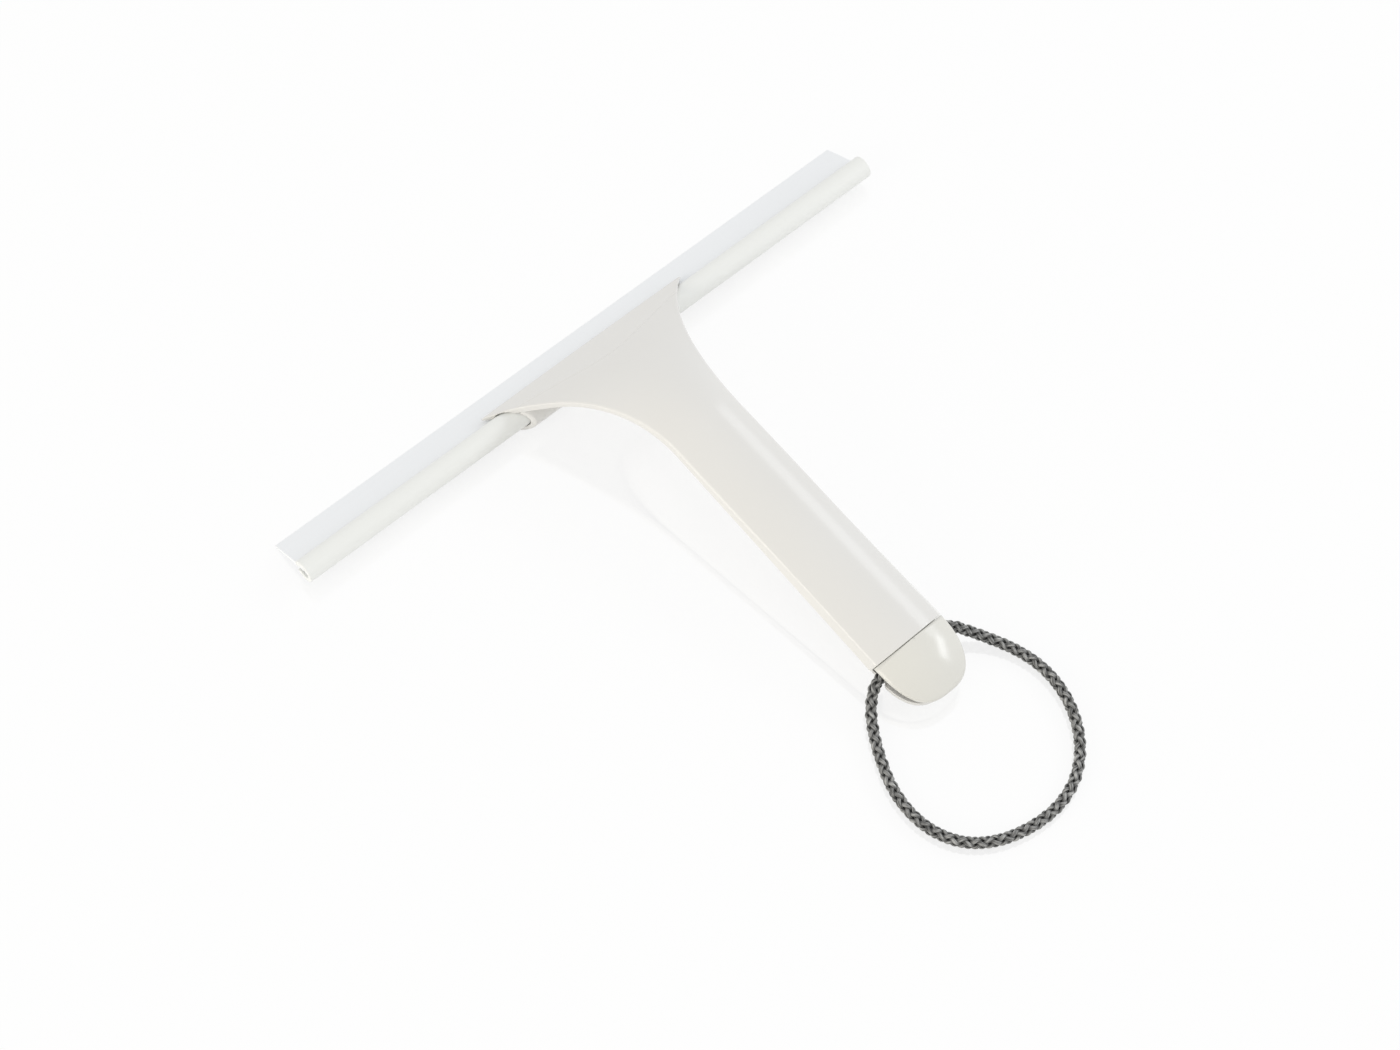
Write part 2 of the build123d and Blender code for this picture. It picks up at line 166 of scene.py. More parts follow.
def make_piece(name: str, patches: list[Patch], flats: bool = True) -> bpy.types.Object:
    """One mesh object from patches, welded, closed and with its faces pointing outwards.

    Args:
        name: name of the piece.
        patches: its surfaces, in millimetres.
        flats: lets large faces rule the shading, so that flats stay flat beside rounded edges.

    Returns:
        The object, at the origin, linked to the scene.
    """
    starts = np.cumsum([0] + [len(patch.points) for patch in patches[:-1]])
    points = np.concatenate([patch.points for patch in patches]) * MM
    quads = np.concatenate([patch.quads + start for patch, start in zip(patches, starts)])
    mesh = bpy.data.meshes.new(name)
    mesh.from_pydata(points.tolist(), [], quads.tolist())
    if patches[0].lay is not None:
        lay = np.concatenate([patch.lay for patch in patches])
        depth = np.concatenate([patch.depth for patch in patches])
        corners = np.zeros(len(mesh.loops), np.int32)
        mesh.loops.foreach_get("vertex_index", corners)
        mesh.uv_layers.new(name="lay").data.foreach_set("uv", lay[corners].ravel())
        mesh.attributes.new("depth", "FLOAT", "POINT").data.foreach_set("value", depth)
    work = bmesh.new()
    work.from_mesh(mesh)
    bmesh.ops.remove_doubles(work, verts=work.verts, dist=WELD_MM * MM)
    bmesh.ops.dissolve_degenerate(work, edges=work.edges, dist=WELD_MM * MM / 4)
    bmesh.ops.recalc_face_normals(work, faces=work.faces)
    work.to_mesh(mesh)
    work.free()
    mesh.polygons.foreach_set("use_smooth", np.ones(len(mesh.polygons), bool))
    mesh.update()
    piece = bpy.data.objects.new(name, mesh)
    bpy.context.scene.collection.objects.link(piece)
    if flats:
        piece.modifiers.new("weighted_normals", "WEIGHTED_NORMAL").keep_sharp = True
    return piece


def linear(colour: str) -> tuple[float, float, float, float]:
    """Linear RGBA of an sRGB hex colour such as #e6e5e1.

    Args:
        colour: the colour, with its #.

    Returns:
        Red, green, blue and 1.
    """
    parts = np.array([int(colour[i : i + 2], 16) for i in (1, 3, 5)]) / 255
    values = np.where(parts <= 0.04045, parts / 12.92, ((parts + 0.055) / 1.055) ** 2.4)
    return (float(values[0]), float(values[1]), float(values[2]), 1.0)


def add_node(
    tree: bpy.types.NodeTree,
    kind: str,
    settings: dict[str, object] | None = None,
    inputs: dict[str | int, object] | None = None,
) -> bpy.types.Node:
    """Adds a node, sets its properties, and sets or links its inputs.

    Args:
        tree: node tree that gets the node.
        kind: the node's type, such as ShaderNodeTexNoise.
        settings: properties of the node itself.
        inputs: socket names or numbers, with a value or an output socket to link.

    Returns:
        The node.
    """
    node = tree.nodes.new(kind)
    for key, value in (settings or {}).items():
        setattr(node, key, value)
    for key, value in (inputs or {}).items():
        if isinstance(value, bpy.types.NodeSocket):
            tree.links.new(value, node.inputs[key])
        else:
            node.inputs[key].default_value = value
    return node


def new_material(name: str) -> tuple[bpy.types.Material, bpy.types.NodeTree, bpy.types.Node]:
    """An empty node material, its tree and its output node.

    Args:
        name: name of the material.

    Returns:
        The material, its node tree and its output node.
    """
    material = bpy.data.materials.new(name)
    material.use_nodes = True
    tree = material.node_tree
    tree.nodes.clear()
    return material, tree, add_node(tree, "ShaderNodeOutputMaterial")


def plastic_shader(
    finish: "MouldedPlastic | DrawnPlastic",
    tree: bpy.types.NodeTree,
    output: bpy.types.Node,
    drift: bpy.types.NodeSocket,
    pattern: bpy.types.NodeSocket,
    relief: tuple[float, float],
) -> None:
    """Adds the shader that moulded and drawn plastic share, and links it to the output.

    Args:
        finish: the plastic, with its two tones, its roughness and its IOR.
        tree: node tree of its material.
        output: output node of its material.
        drift: share of the lighter tone.
        pattern: fine pattern that roughness and relief follow.
        relief: depth of the relief in millimetres, and its strength.
    """
    tone = add_node(
        tree,
        "ShaderNodeMix",
        {"data_type": "RGBA"},
        {0: drift, 6: linear(finish.deep), 7: linear(finish.light)},
    )
    gloss = add_node(
        tree,
        "ShaderNodeMapRange",
        inputs={
            "Value": pattern,
            "To Min": finish.roughness_low,
            "To Max": finish.roughness_high,
        },
    )
    bump = add_node(
        tree,
        "ShaderNodeBump",
        inputs={"Height": pattern, "Distance": relief[0] * MM, "Strength": relief[1]},
    )
    shader = add_node(
        tree,
        "ShaderNodeBsdfPrincipled",
        inputs={
            "Base Color": tone.outputs[2],
            "Roughness": gloss.outputs[0],
            "IOR": finish.ior,
            "Normal": bump.outputs["Normal"],
        },
    )
    tree.links.new(shader.outputs["BSDF"], output.inputs["Surface"])


@dataclass(frozen=True)
class MouldedPlastic:
    """Injection-moulded ABS: even warm white, satin, with a trace of the mould's spark texture.

    It shows a soft broad highlight, a faint drift of tone over the length of a moulding, and a very
    fine grain that only softens the reflections.
    """

    name: str
    light: str
    deep: str
    roughness_low: float
    roughness_high: float
    drift_mm: float = 60.0  # tone changes over about this length
    grain_mm: float = 0.5  # spark texture, drawn coarser than life so that it shows
    grain_depth_mm: float = 0.004
    ior: float = 1.52

    def material(self) -> bpy.types.Material:
        """Builds the node material.

        Returns:
            The finished material.
        """
        material, tree, output = new_material(self.name)
        place = add_node(tree, "ShaderNodeTexCoord").outputs["Object"]
        drift = add_node(
            tree,
            "ShaderNodeTexNoise",
            inputs={"Vector": place, "Scale": 1 / (self.drift_mm * MM), "Detail": 2.0},
        )
        grain = add_node(
            tree,
            "ShaderNodeTexNoise",
            inputs={"Vector": place, "Scale": 1 / (self.grain_mm * MM), "Detail": 3.0},
        )
        relief = (self.grain_depth_mm, 0.6)
        plastic_shader(self, tree, output, drift.outputs["Fac"], grain.outputs["Fac"], relief)
        return material


@dataclass(frozen=True)
class DrawnPlastic:
    """Plastic or rubber drawn through a die: smooth, with faint lines along its length (X).

    The lines break the highlight into fine streaks that run with the blade.
    """

    name: str
    light: str
    deep: str
    roughness_low: float
    roughness_high: float
    ior: float
    line_mm: float = 0.6  # spacing of the die lines across the length
    run_mm: float = 60.0  # a die line's length before it fades
    line_depth_mm: float = 0.006

    def material(self) -> bpy.types.Material:
        """Builds the node material.

        Returns:
            The finished material.
        """
        material, tree, output = new_material(self.name)
        place = add_node(tree, "ShaderNodeTexCoord").outputs["Object"]
        stretch = add_node(
            tree,
            "ShaderNodeMapping",
            inputs={"Vector": place, "Scale": (self.line_mm / self.run_mm, 1.0, 1.0)},
        )
        lines = add_node(
            tree,
            "ShaderNodeTexNoise",
            inputs={
                "Vector": stretch.outputs["Vector"],
                "Scale": 1 / (self.line_mm * MM),
                "Detail": 2.0,
            },
        )
        share = lines.outputs["Fac"]
        plastic_shader(self, tree, output, share, share, (self.line_depth_mm, 0.5))
        return material


@dataclass(frozen=True)
class BraidedYarn:
    """Grey polyester yarn in a braid: each strand is a bundle of fine filaments.

    The filaments lie along the strand (the UV map's U) and show as thin light and dark lines, with
    a soft sheen where they catch the light. The gaps between the strands are painted nearly black:
    painted shade, set by how deep a point lies in the cord, which also covers the whole core.
    """

    name: str
    light: str
    deep: str
    # painted shade: the nearly black colour painted into the deep parts of the braid and over the
    # whole core
    gap: str
    filaments: float = 2.6  # lines seen across one strand, fewer than in life so that they show
    slub_mm: float = 3.0  # length over which a filament changes tone
    roughness: float = 0.62
    sheen: float = 0.25

    def material(self) -> bpy.types.Material:
        """Builds the node material.

        Returns:
            The finished material.
        """
        material, tree, output = new_material(self.name)
        lay = add_node(tree, "ShaderNodeTexCoord").outputs["UV"]
        spread = add_node(
            tree,
            "ShaderNodeMapping",
            inputs={"Vector": lay, "Scale": (1 / self.slub_mm, 2 * self.filaments, 1.0)},
        )
        fibres = add_node(
            tree,
            "ShaderNodeTexNoise",
            inputs={"Vector": spread.outputs["Vector"], "Scale": 1.0, "Detail": 2.0},
        )
        contrast = add_node(
            tree,
            "ShaderNodeMapRange",
            inputs={"Value": fibres.outputs["Fac"], "From Min": 0.3, "From Max": 0.7},
        )
        # painted shade: points deep in the cord take the gap colour, and only points near its
        # outside show the strand's own tones
        depth = add_node(tree, "ShaderNodeAttribute", {"attribute_name": "depth"})
        clear_of_painted_shade = add_node(
            tree,
            "ShaderNodeMapRange",
            {"interpolation_type": "SMOOTHSTEP"},
            {"Value": depth.outputs["Fac"], "From Min": 0.55, "From Max": 0.98},
        )
        strand = add_node(
            tree,
            "ShaderNodeMix",
            {"data_type": "RGBA"},
            {0: contrast.outputs[0], 6: linear(self.deep), 7: linear(self.light)},
        )
        tone = add_node(
            tree,
            "ShaderNodeMix",
            {"data_type": "RGBA"},
            {0: clear_of_painted_shade.outputs[0], 6: linear(self.gap), 7: strand.outputs[2]},
        )
        bump = add_node(
            tree,
            "ShaderNodeBump",
            inputs={"Height": contrast.outputs[0], "Distance": 0.08 * MM, "Strength": 0.8},
        )
        shader = add_node(
            tree,
            "ShaderNodeBsdfPrincipled",
            inputs={
                "Base Color": tone.outputs[2],
                "Roughness": self.roughness,
                "Sheen Weight": self.sheen,
                "Normal": bump.outputs["Normal"],
            },
        )
        tree.links.new(shader.outputs["BSDF"], output.inputs["Surface"])
        return material


HANDLE_FINISH = MouldedPlastic("moulded_abs_warm_white", "#e7e6e3", "#e4e2dd", 0.17, 0.23)
# The cap's ABS is the handle's white painted darker and warmer: painted warm shade for the shade
# and warm bounce light round the cap.
CAP_FINISH = MouldedPlastic("moulded_abs_white_painted_warm_shade", "#e4e3dc", "#e1dfd7", 0.17, 0.23)
CHANNEL_FINISH = DrawnPlastic("extruded_pvc_white", "#f0f1ee", "#edeeea", 0.3, 0.4, 1.53)
LIP_FINISH = DrawnPlastic("extruded_silicone_cool_white", "#f3f5f7", "#f1f3f5", 0.36, 0.46, 1.41)
# the third colour is painted shade for the braid's gaps and its core
CORD_FINISH = BraidedYarn("braided_polyester_grey", "#bcbcb9", "#2c2c2b", "#060606")


@dataclass
class HandleForm:
    """Sizes and heights that shell, cap and underside share, in millimetres."""

    axis_y: float = 73.8625
    axis_z: float = 6.6
    hood_front: float = 7.0
    hood_half: float = 43.0
    hood_over_axis: float = 6.5
    hood_rise: float = 32.8
    ridge_radius: float = 64.0
    strip_angle: float = 40.4
    strip_offset: float = 5.03  # from the channel axis, square to the strip
    strip_bow: float = 0.35  # fall of the strip from its middle to its ends
    crease_width: float = 0.12
    groove_depth: float = 0.16
    groove_half: float = 0.22
    neck: float = 55.0
    neck_half: float = 13.6
    seam: float = 145.3
    seam_half: float = 14.0
    seam_height: float = 13.8
    seam_lean: float = 18.5
    seam_gap: float = 0.16
    grip_fall: float = 9.3
    crown: float = 5.0
    crown_start: float = -27.0
    crown_full: float = 58.0
    wall: float = 2.4
    flank_spread: float = 1.0
    flank_inset: float = 0.75
    cap_length: float = 19.0
    cap_droop: float = 2.0
    roundness: float = 2.6
    cord_behind: float = 146.8
    cord_height: float = 9.9
    cord_gap: float = 2.75

    def half_width(self, u: Array) -> Array:
        """Half the width in plan: a flare arc up to the neck, then a straight line to the seam.

        Args:
            u: distances behind the channel axis.

        Returns:
            The half widths.
        """
        reach = self.neck + self.hood_front
        flare = self.hood_half - self.neck_half
        radius = (flare**2 + reach**2) / (2 * flare)
        depth = np.clip(self.neck - u, 0, radius)
        share = np.clip((u - self.neck) / (self.seam - self.neck), 0, 1)
        straight = self.neck_half + share * (self.seam_half - self.neck_half)
        return straight + radius - np.sqrt(radius**2 - depth**2)

    def width_slope(self, u: Array) -> Array:
        """Change of the half width per millimetre behind, by a central difference."""
        step = 0.01
        return (self.half_width(u + step) - self.half_width(u - step)) / (2 * step)

    def edge_height(self, u: Array) -> Array:
        """Height of the top edge: a rising line, an arc tangent to both, and a falling line.

        Args:
            u: distances behind the channel axis.

        Returns:
            The heights above the table.
        """
        rise, fall = math.radians(self.hood_rise), math.radians(self.grip_fall)
        hood = self.axis_z + self.hood_over_axis
        grip = self.seam_height + math.tan(fall) * self.seam
        corner = (grip - hood) / (math.tan(rise) + math.tan(fall))
        tangent = self.ridge_radius * math.tan((rise + fall) / 2)
        start = corner - tangent * math.cos(rise)
        stop = corner + tangent * math.cos(fall)
        centre = start + self.ridge_radius * math.sin(rise)
        level = hood + math.tan(rise) * start - self.ridge_radius * math.cos(rise)
        across = np.clip(u, start, stop) - centre
        arc = level + np.sqrt(self.ridge_radius**2 - across**2)
        before = np.minimum(u - start, 0) * math.tan(rise)
        after = np.maximum(u - stop, 0) * math.tan(fall)
        return arc + before - after

    def top(self, x: Array, u: Array) -> Array:
        """Crowned top: edge height + crown * (1 - (x/w)^2), falling away over the cap.

        Args:
            x: distances across from the middle line.
            u: distances behind the channel axis.

        Returns:
            The heights above the table.
        """
        across = np.abs(x) / self.half_width(u)
        cap = np.maximum(0, (u - self.seam) / self.cap_length)
        rise = (u - self.crown_start) / (self.crown_full - self.crown_start)
        crown = self.crown * smooth_step(rise)
        fall = self.cap_droop * cap**2
        return self.edge_height(u) - fall + crown * (1 - across**2 - cap**self.roundness)

    def strip(self, x: Array, u: Array) -> Array:
        """Height of the strip over the channel: a plane that leans back, less bow * (x/w)^2.

        Args:
            x: distances across from the middle line.
            u: distances behind the channel axis.

        Returns:
            The heights above the table.
        """
        lean = math.radians(self.strip_angle)
        plane = self.axis_z + self.strip_offset / math.cos(lean) + math.tan(lean) * u
        return plane - self.strip_bow * (x / self.hood_half) ** 2

    def crease(self, x: Array) -> Array:
        """Where strip and crowned top cross, by Newton steps from 5 mm behind the channel axis.

        Args:
            x: distances across from the middle line.

        Returns:
            The distances behind the channel axis.
        """
        u = np.full_like(x, 5.0)
        step = 0.01
        for _ in range(8):
            gap = self.strip(x, u) - self.top(x, u)
            slope = (self.strip(x, u + step) - self.top(x, u + step) - gap) / step
            u = np.clip(u - gap / slope, -self.hood_front, 20.0)
        return u

    def hood_top(self, x: Array, u: Array) -> Array:
        """The lower of strip and crowned top, with a fine groove along the crease between them.

        Args:
            x: distances across from the middle line.
            u: distances behind the channel axis.

        Returns:
            The heights above the table.
        """
        groove = self.groove_depth * np.exp(-(((u - self.crease(x)) / self.groove_half) ** 2))
        return soft_min(self.strip(x, u), self.top(x, u), self.crease_width) - groove

    def lean(self, u: Array, z: Array, weight: Array, gap: float) -> tuple[Array, Array]:
        """Slides points near the seam back with their height, so that the seam leans.

        Args:
            u: distances behind the channel axis.
            z: heights.
            weight: 1 at the seam and 0 where nothing moves.
            gap: how far the seam's face stands behind the seam plane.

        Returns:
            The new distances and heights.
        """
        move = weight * (math.tan(math.radians(self.seam_lean)) * (z - self.seam_height) + gap)
        return u + move, z - math.tan(math.radians(self.grip_fall)) * move

    def world(self, x: Array, u: Array, z: Array) -> Array:
        """Points (X, Y, Z) from across, behind and up."""
        x, u, z = np.broadcast_arrays(x, u, z)
        return np.stack([x, self.axis_y - u, z], -1)


def mirrored(right: Array) -> Array:
    """A chain of points from left to right, from its right half that starts in the middle.

    Args:
        right: (rows, n, 2) points across and up, the first on the middle line.

    Returns:
        Points of shape (rows, 2n - 1, 2).
    """
    left = right[:, :0:-1] * np.array([-1.0, 1.0])
    return np.concatenate([left, right], 1)


@dataclass
class HandleShell:
    """Hood, flare and grip top in one moulding, with the C-shaped sleeve under its front."""

    form: HandleForm
    edge_round: float = 0.9
    flank_round: float = 0.4  # edge over the flank
    low_round: float = 0.45
    end_round: float = 0.5
    rim_width: float = 1.25
    brow: float = 0.8  # how much deeper the rim is beside the sleeve
    bore: float = 4.25
    sleeve_wall: float = 1.7
    jaw_gap: float = 1.4  # above the lip's middle plane
    lip_droop: float = 20.5
    sleeve_start: float = 66.0  # degrees from level, at the rear, up to the hood
    sleeve_end: float = -102.0
    skin_start: float = 0.6  # where the ceiling leaves the bore, behind the channel axis
    skin_run: float = 1.6
    brow_start: float = 4.0  # where the deeper rim begins to fade, behind the channel axis
    brow_run: float = 16.0
    crease_run: float = 22.0  # length behind the crease over which the rows straighten
    lean_run: float = 30.0  # length ahead of the seam over which the rows begin to lean

    def stations(self) -> tuple[Array, Array]:
        """Rows of the moulding, front to rear.

        Returns:
            Distances behind the channel axis, and how much each row is drawn in to round the ends.
        """
        middle = self.form.crease(np.zeros(1))
        turn = np.linspace(0, math.pi / 2, 6)[:-1]
        ahead = -self.form.hood_front + self.end_round * (1 - np.cos(turn))
        rear = self.form.seam - self.end_round * (1 - np.cos(turn[::-1]))
        body = np.concatenate(
            [
                np.arange(-self.form.hood_front + self.end_round, 9.0, 0.45),
                middle + np.linspace(-0.7, 0.7, 15),
                np.arange(9.0, 62.0, 1.1),
                np.linspace(62.0, self.form.seam - self.end_round, 34),
            ]
        )
        body = np.unique(body)
        drawn = self.end_round * (1 - np.sin(turn))
        inset = np.concatenate([drawn, np.zeros(len(body)), drawn[::-1]])
        return np.concatenate([ahead, body, rear]), inset

    def bowed(self, rows: Array, share: Array) -> Array:
        """Rows bent forwards at the sides, so that one of them follows the crease.

        Args:
            rows: distances behind the channel axis on the middle line.
            share: columns, from 0 in the middle to 1 at the side.

        Returns:
            Distances behind of shape (rows, columns).
        """
        form = self.form
        side = np.array([form.hood_half])
        for _ in range(8):
            side = form.half_width(form.crease(side)) - self.edge_round
        line = form.crease(share * side)
        front = -form.hood_front + self.end_round
        before = (rows - front) / (line[0] - front)
        after = (line[0] + self.crease_run - rows) / self.crease_run
        pull = np.clip(np.minimum(before, after), 0, 1)
        return rows[:, None] - (line[0] - line)[None, :] * pull[:, None]

    def ceiling(self, x: Array, u: Array) -> Array:
        """Inside of the moulding: jaw's foot, bore over the channel, then the skin's inside.

        The foot is parallel to the lip. The bore is the upper half of a circle about the channel
        axis. Behind it the skin has its even upright thickness.

        Args:
            x: distances across from the middle line.
            u: distances behind the channel axis.

        Returns:
            The heights above the table.
        """
        form = self.form
        droop = math.radians(self.lip_droop)
        foot = form.axis_z + self.jaw_gap / math.cos(droop) + u * math.tan(droop)
        circle = form.axis_z + np.sqrt(np.maximum(self.bore**2 - u**2, 0))
        front = np.where(u < -self.bore * math.cos(math.radians(9)), foot, np.maximum(foot, circle))
        skin = form.hood_top(x, u) - form.wall
        share = smooth_step((u - self.skin_start) / self.skin_run)
        return front * (1 - share) + skin * share

    def skin(self) -> Patch:
        """The moulded skin, as rings of points across it, each a rounded section of even wall.

        Returns:
            The skin as one patch.
        """
        form = self.form
        rows, inset = self.stations()
        share = 1 - (1 - np.linspace(0, 1, 22)) ** 1.5
        u = self.bowed(rows, share)
        side = u[:, -1]
        half = form.half_width(side) - inset
        skew = np.sqrt(1 + form.width_slope(side) ** 2)
        grip = np.clip((side - form.neck) / (form.seam - form.neck), 0, 1)
        spread = form.flank_spread * grip
        flank = smooth_step((side - form.neck) / (0.7 * (form.seam - form.neck)))
        top_half = half - form.flank_inset * flank
        edge = form.hood_top(top_half, side) - inset
        brow = self.brow * (1 - smooth_step((side - self.brow_start) / self.brow_run))
        foot = np.minimum(form.edge_height(side) - form.wall - brow, edge - 1.2)
        jaw = smooth_step((side + 1.0) / 4.0)
        foot = self.ceiling(half, side) * (1 - jaw) + foot * jaw + inset
        edge_round = self.edge_round + (self.flank_round - self.edge_round) * flank
        round_in = edge_round * skew
        low_in = self.low_round * skew
        inner_half = half - self.rim_width * skew
        across = share[None, :] * (top_half - round_in)[:, None]
        crown = np.stack([across, form.hood_top(across, u) - inset[:, None]], -1)
        corner = np.stack([top_half, edge], -1)
        low_corner = np.stack([half + spread, foot], -1)
        down = unit(low_corner - corner)
        side_start = corner + down * edge_round[:, None] * 0.8
        side_end = low_corner - down * self.low_round
        low_end = low_corner - np.stack([low_in, np.zeros_like(low_in)], -1)
        upper = corner_curve(crown[:, -1], corner, side_start, 7)[:, 1:]
        lower = corner_curve(side_end, low_corner, low_end, 5)
        outer = mirrored(np.concatenate([crown, upper, lower], 1))
        under = share[None, :] * inner_half[:, None]
        under_top = self.ceiling(under, u) + inset[:, None]
        roof = np.stack([under, np.minimum(under_top, crown[:, :, 1] - 0.3)], -1)
        drop = np.linspace(0, 1, upper.shape[1] + lower.shape[1] + 1)[None, 1:, None]
        lip = np.stack([inner_half, np.minimum(foot, roof[:, -1, 1])], -1)[:, None, :]
        inner = mirrored(np.concatenate([roof, roof[:, -1:] * (1 - drop) + lip * drop], 1))
        behind = np.concatenate([u, np.repeat(u[:, -1:], drop.shape[1], 1)], 1)
        behind = np.concatenate([behind[:, :0:-1], behind], 1)
        faces = []
        for chain in (outer, inner):
            weight = smooth_step((behind - form.seam + self.lean_run) / self.lean_run)
            back, height = form.lean(behind, chain[:, :, 1], weight, -form.seam_gap / 2)
            faces.append(form.world(chain[:, :, 0], back, height))
        return thick_sheet(faces[0], faces[1])

    def sleeve(self) -> Patch:
        """C-shaped sleeve: two arcs about the channel axis, carried along X to the plan outline.

        Returns:
            The sleeve as one patch.
        """
        form = self.form
        angle = np.radians(np.linspace(self.sleeve_start, self.sleeve_end, 40))
        across = np.concatenate([[-1.0, -0.994], np.linspace(-0.985, 0.985, 21), [0.994, 1.0]])
        drawn = np.concatenate([[0.35, 0.1], np.zeros(21), [0.1, 0.35]])[:, None]
        tip = 0.6 * np.clip((np.arange(40) - 35) / 4, 0, 1) ** 2
        faces = []
        for radius in (self.bore + self.sleeve_wall - drawn - tip, self.bore + drawn + 0 * tip):
            u = radius * np.cos(angle)[None, :]
            z = form.axis_z + radius * np.sin(angle)[None, :]
            faces.append(form.world(across[:, None] * form.half_width(u), u, z))
        return thick_sheet(faces[0], faces[1])

    def build(self) -> bpy.types.Object:
        """The whole moulding as one piece."""
        return make_piece("handle_moulding", [self.skin(), self.sleeve()])


@dataclass
class EndCap:
    """Rounded cap behind the seam, with a tongue that goes under the shell."""

    form: HandleForm
    edge_round: float = 0.8
    low_round: float = 0.35
    rim: float = 1.2
    tip_rim: float = 2.5
    tuck: float = 0.7  # how far the rim's foot draws in at the tip
    rim_width: float = 1.2
    tongue_length: float = 9.0
    tongue_root: float = 5.0
    tongue_half: float = 8.0
    tongue_thickness: float = 1.5
    tongue_gap: float = 0.3

    def dome(self) -> Patch:
        """The cap's skin as a fan from the middle of the seam to a rounded outline.

        The outline is a superellipse, |x/w|^p + t^p = 1, and each row runs from the middle of the
        seam to it, over its rounded edge and down to the rim's foot.

        Returns:
            The cap's skin as one patch.
        """
        form = self.form
        turn = np.linspace(0, math.pi, 73)
        power = 2 / form.roundness
        side = -np.sign(np.cos(turn)) * np.abs(np.cos(turn)) ** power * form.seam_half
        back = np.abs(np.sin(turn)) ** power * form.cap_length
        reach = np.hypot(side, back)
        share = 1 - (1 - np.linspace(0, 1, 22)) ** 1.4
        out = share[None, :] * (1 - self.edge_round / reach)[:, None]

        def height(ratio: Array) -> Array:
            """Top of the cap at a share of the way from the seam's middle to the outline."""
            x, u = ratio * side[:, None], form.seam + ratio * back[:, None]
            return form.top(x, u)

        edge = height(np.ones((len(turn), 1)))[:, 0]
        arch = form.cord_gap**2 - (form.seam + back - form.cord_behind) ** 2
        notch = np.where(arch > 0, form.cord_height + np.sqrt(np.maximum(arch, 0)), -np.inf)
        rear = smooth_step(back / form.cap_length)
        rim = self.rim + (self.tip_rim - self.rim) * rear
        foot = np.clip(notch, edge - rim, edge - 1.1)
        crown = np.stack([out * reach[:, None], height(out)], -1)
        corner = np.stack([reach, edge], -1)
        low = np.stack([reach - self.tuck * rear, foot], -1)
        upper = corner_curve(crown[:, -1], corner, corner - [0, 0.5], 6)[:, 1:]
        lower = corner_curve(low + [0.05, self.low_round], low, low - [self.low_round, 0], 5)
        outer = np.concatenate([crown, upper, lower], 1)
        inner_reach = reach - self.rim_width
        ratio = share[None, :] * (inner_reach / reach)[:, None]
        roof = np.stack([ratio * reach[:, None], height(ratio) - form.wall], -1)
        drop = np.linspace(0, 1, upper.shape[1] + lower.shape[1] + 1)[None, 1:, None]
        lip = np.stack([inner_reach - self.tuck * rear, np.minimum(foot, roof[:, -1, 1])], -1)
        inner = np.concatenate([roof, roof[:, -1:] * (1 - drop) + lip[:, None, :] * drop], 1)
        faces = []
        for chain in (outer, inner):
            ratio = chain[:, :, 0] / reach[:, None]
            u = form.seam + ratio * back[:, None]
            weight = (1 - smooth_step((u - form.seam) / form.cap_length)) * np.ones_like(u)
            u, z = form.lean(u, chain[:, :, 1], weight, form.seam_gap / 2)
            faces.append(form.world(ratio * side[:, None], u, z))
        walls = (Border.FIRST_ROW, Border.LAST_ROW, Border.LAST_COLUMN)
        return thick_sheet(faces[0], faces[1], walls)

    def tongue(self) -> Patch:
        """Flat spring tongue: the skin's inside shifted down, from under the shell to the cap.

        Returns:
            The tongue as one patch.
        """
        form = self.form
        x = np.linspace(-self.tongue_half, self.tongue_half, 17)[None, :]
        start, stop = form.seam - self.tongue_length, form.seam + self.tongue_root
        u = np.linspace(start, stop, 25)[:, None]
        lift = np.where(u > form.seam + 1.5, form.wall / 2, 0.0)
        top = form.top(x, u) - form.wall - self.tongue_gap
        faces = [form.world(x, u, top + lift), form.world(x, u, top - self.tongue_thickness)]
        return thick_sheet(faces[0], faces[1])

    def build(self) -> bpy.types.Object:
        """Cap and tongue as one piece."""
        return make_piece("end_cap_moulding", [self.dome(), self.tongue()])


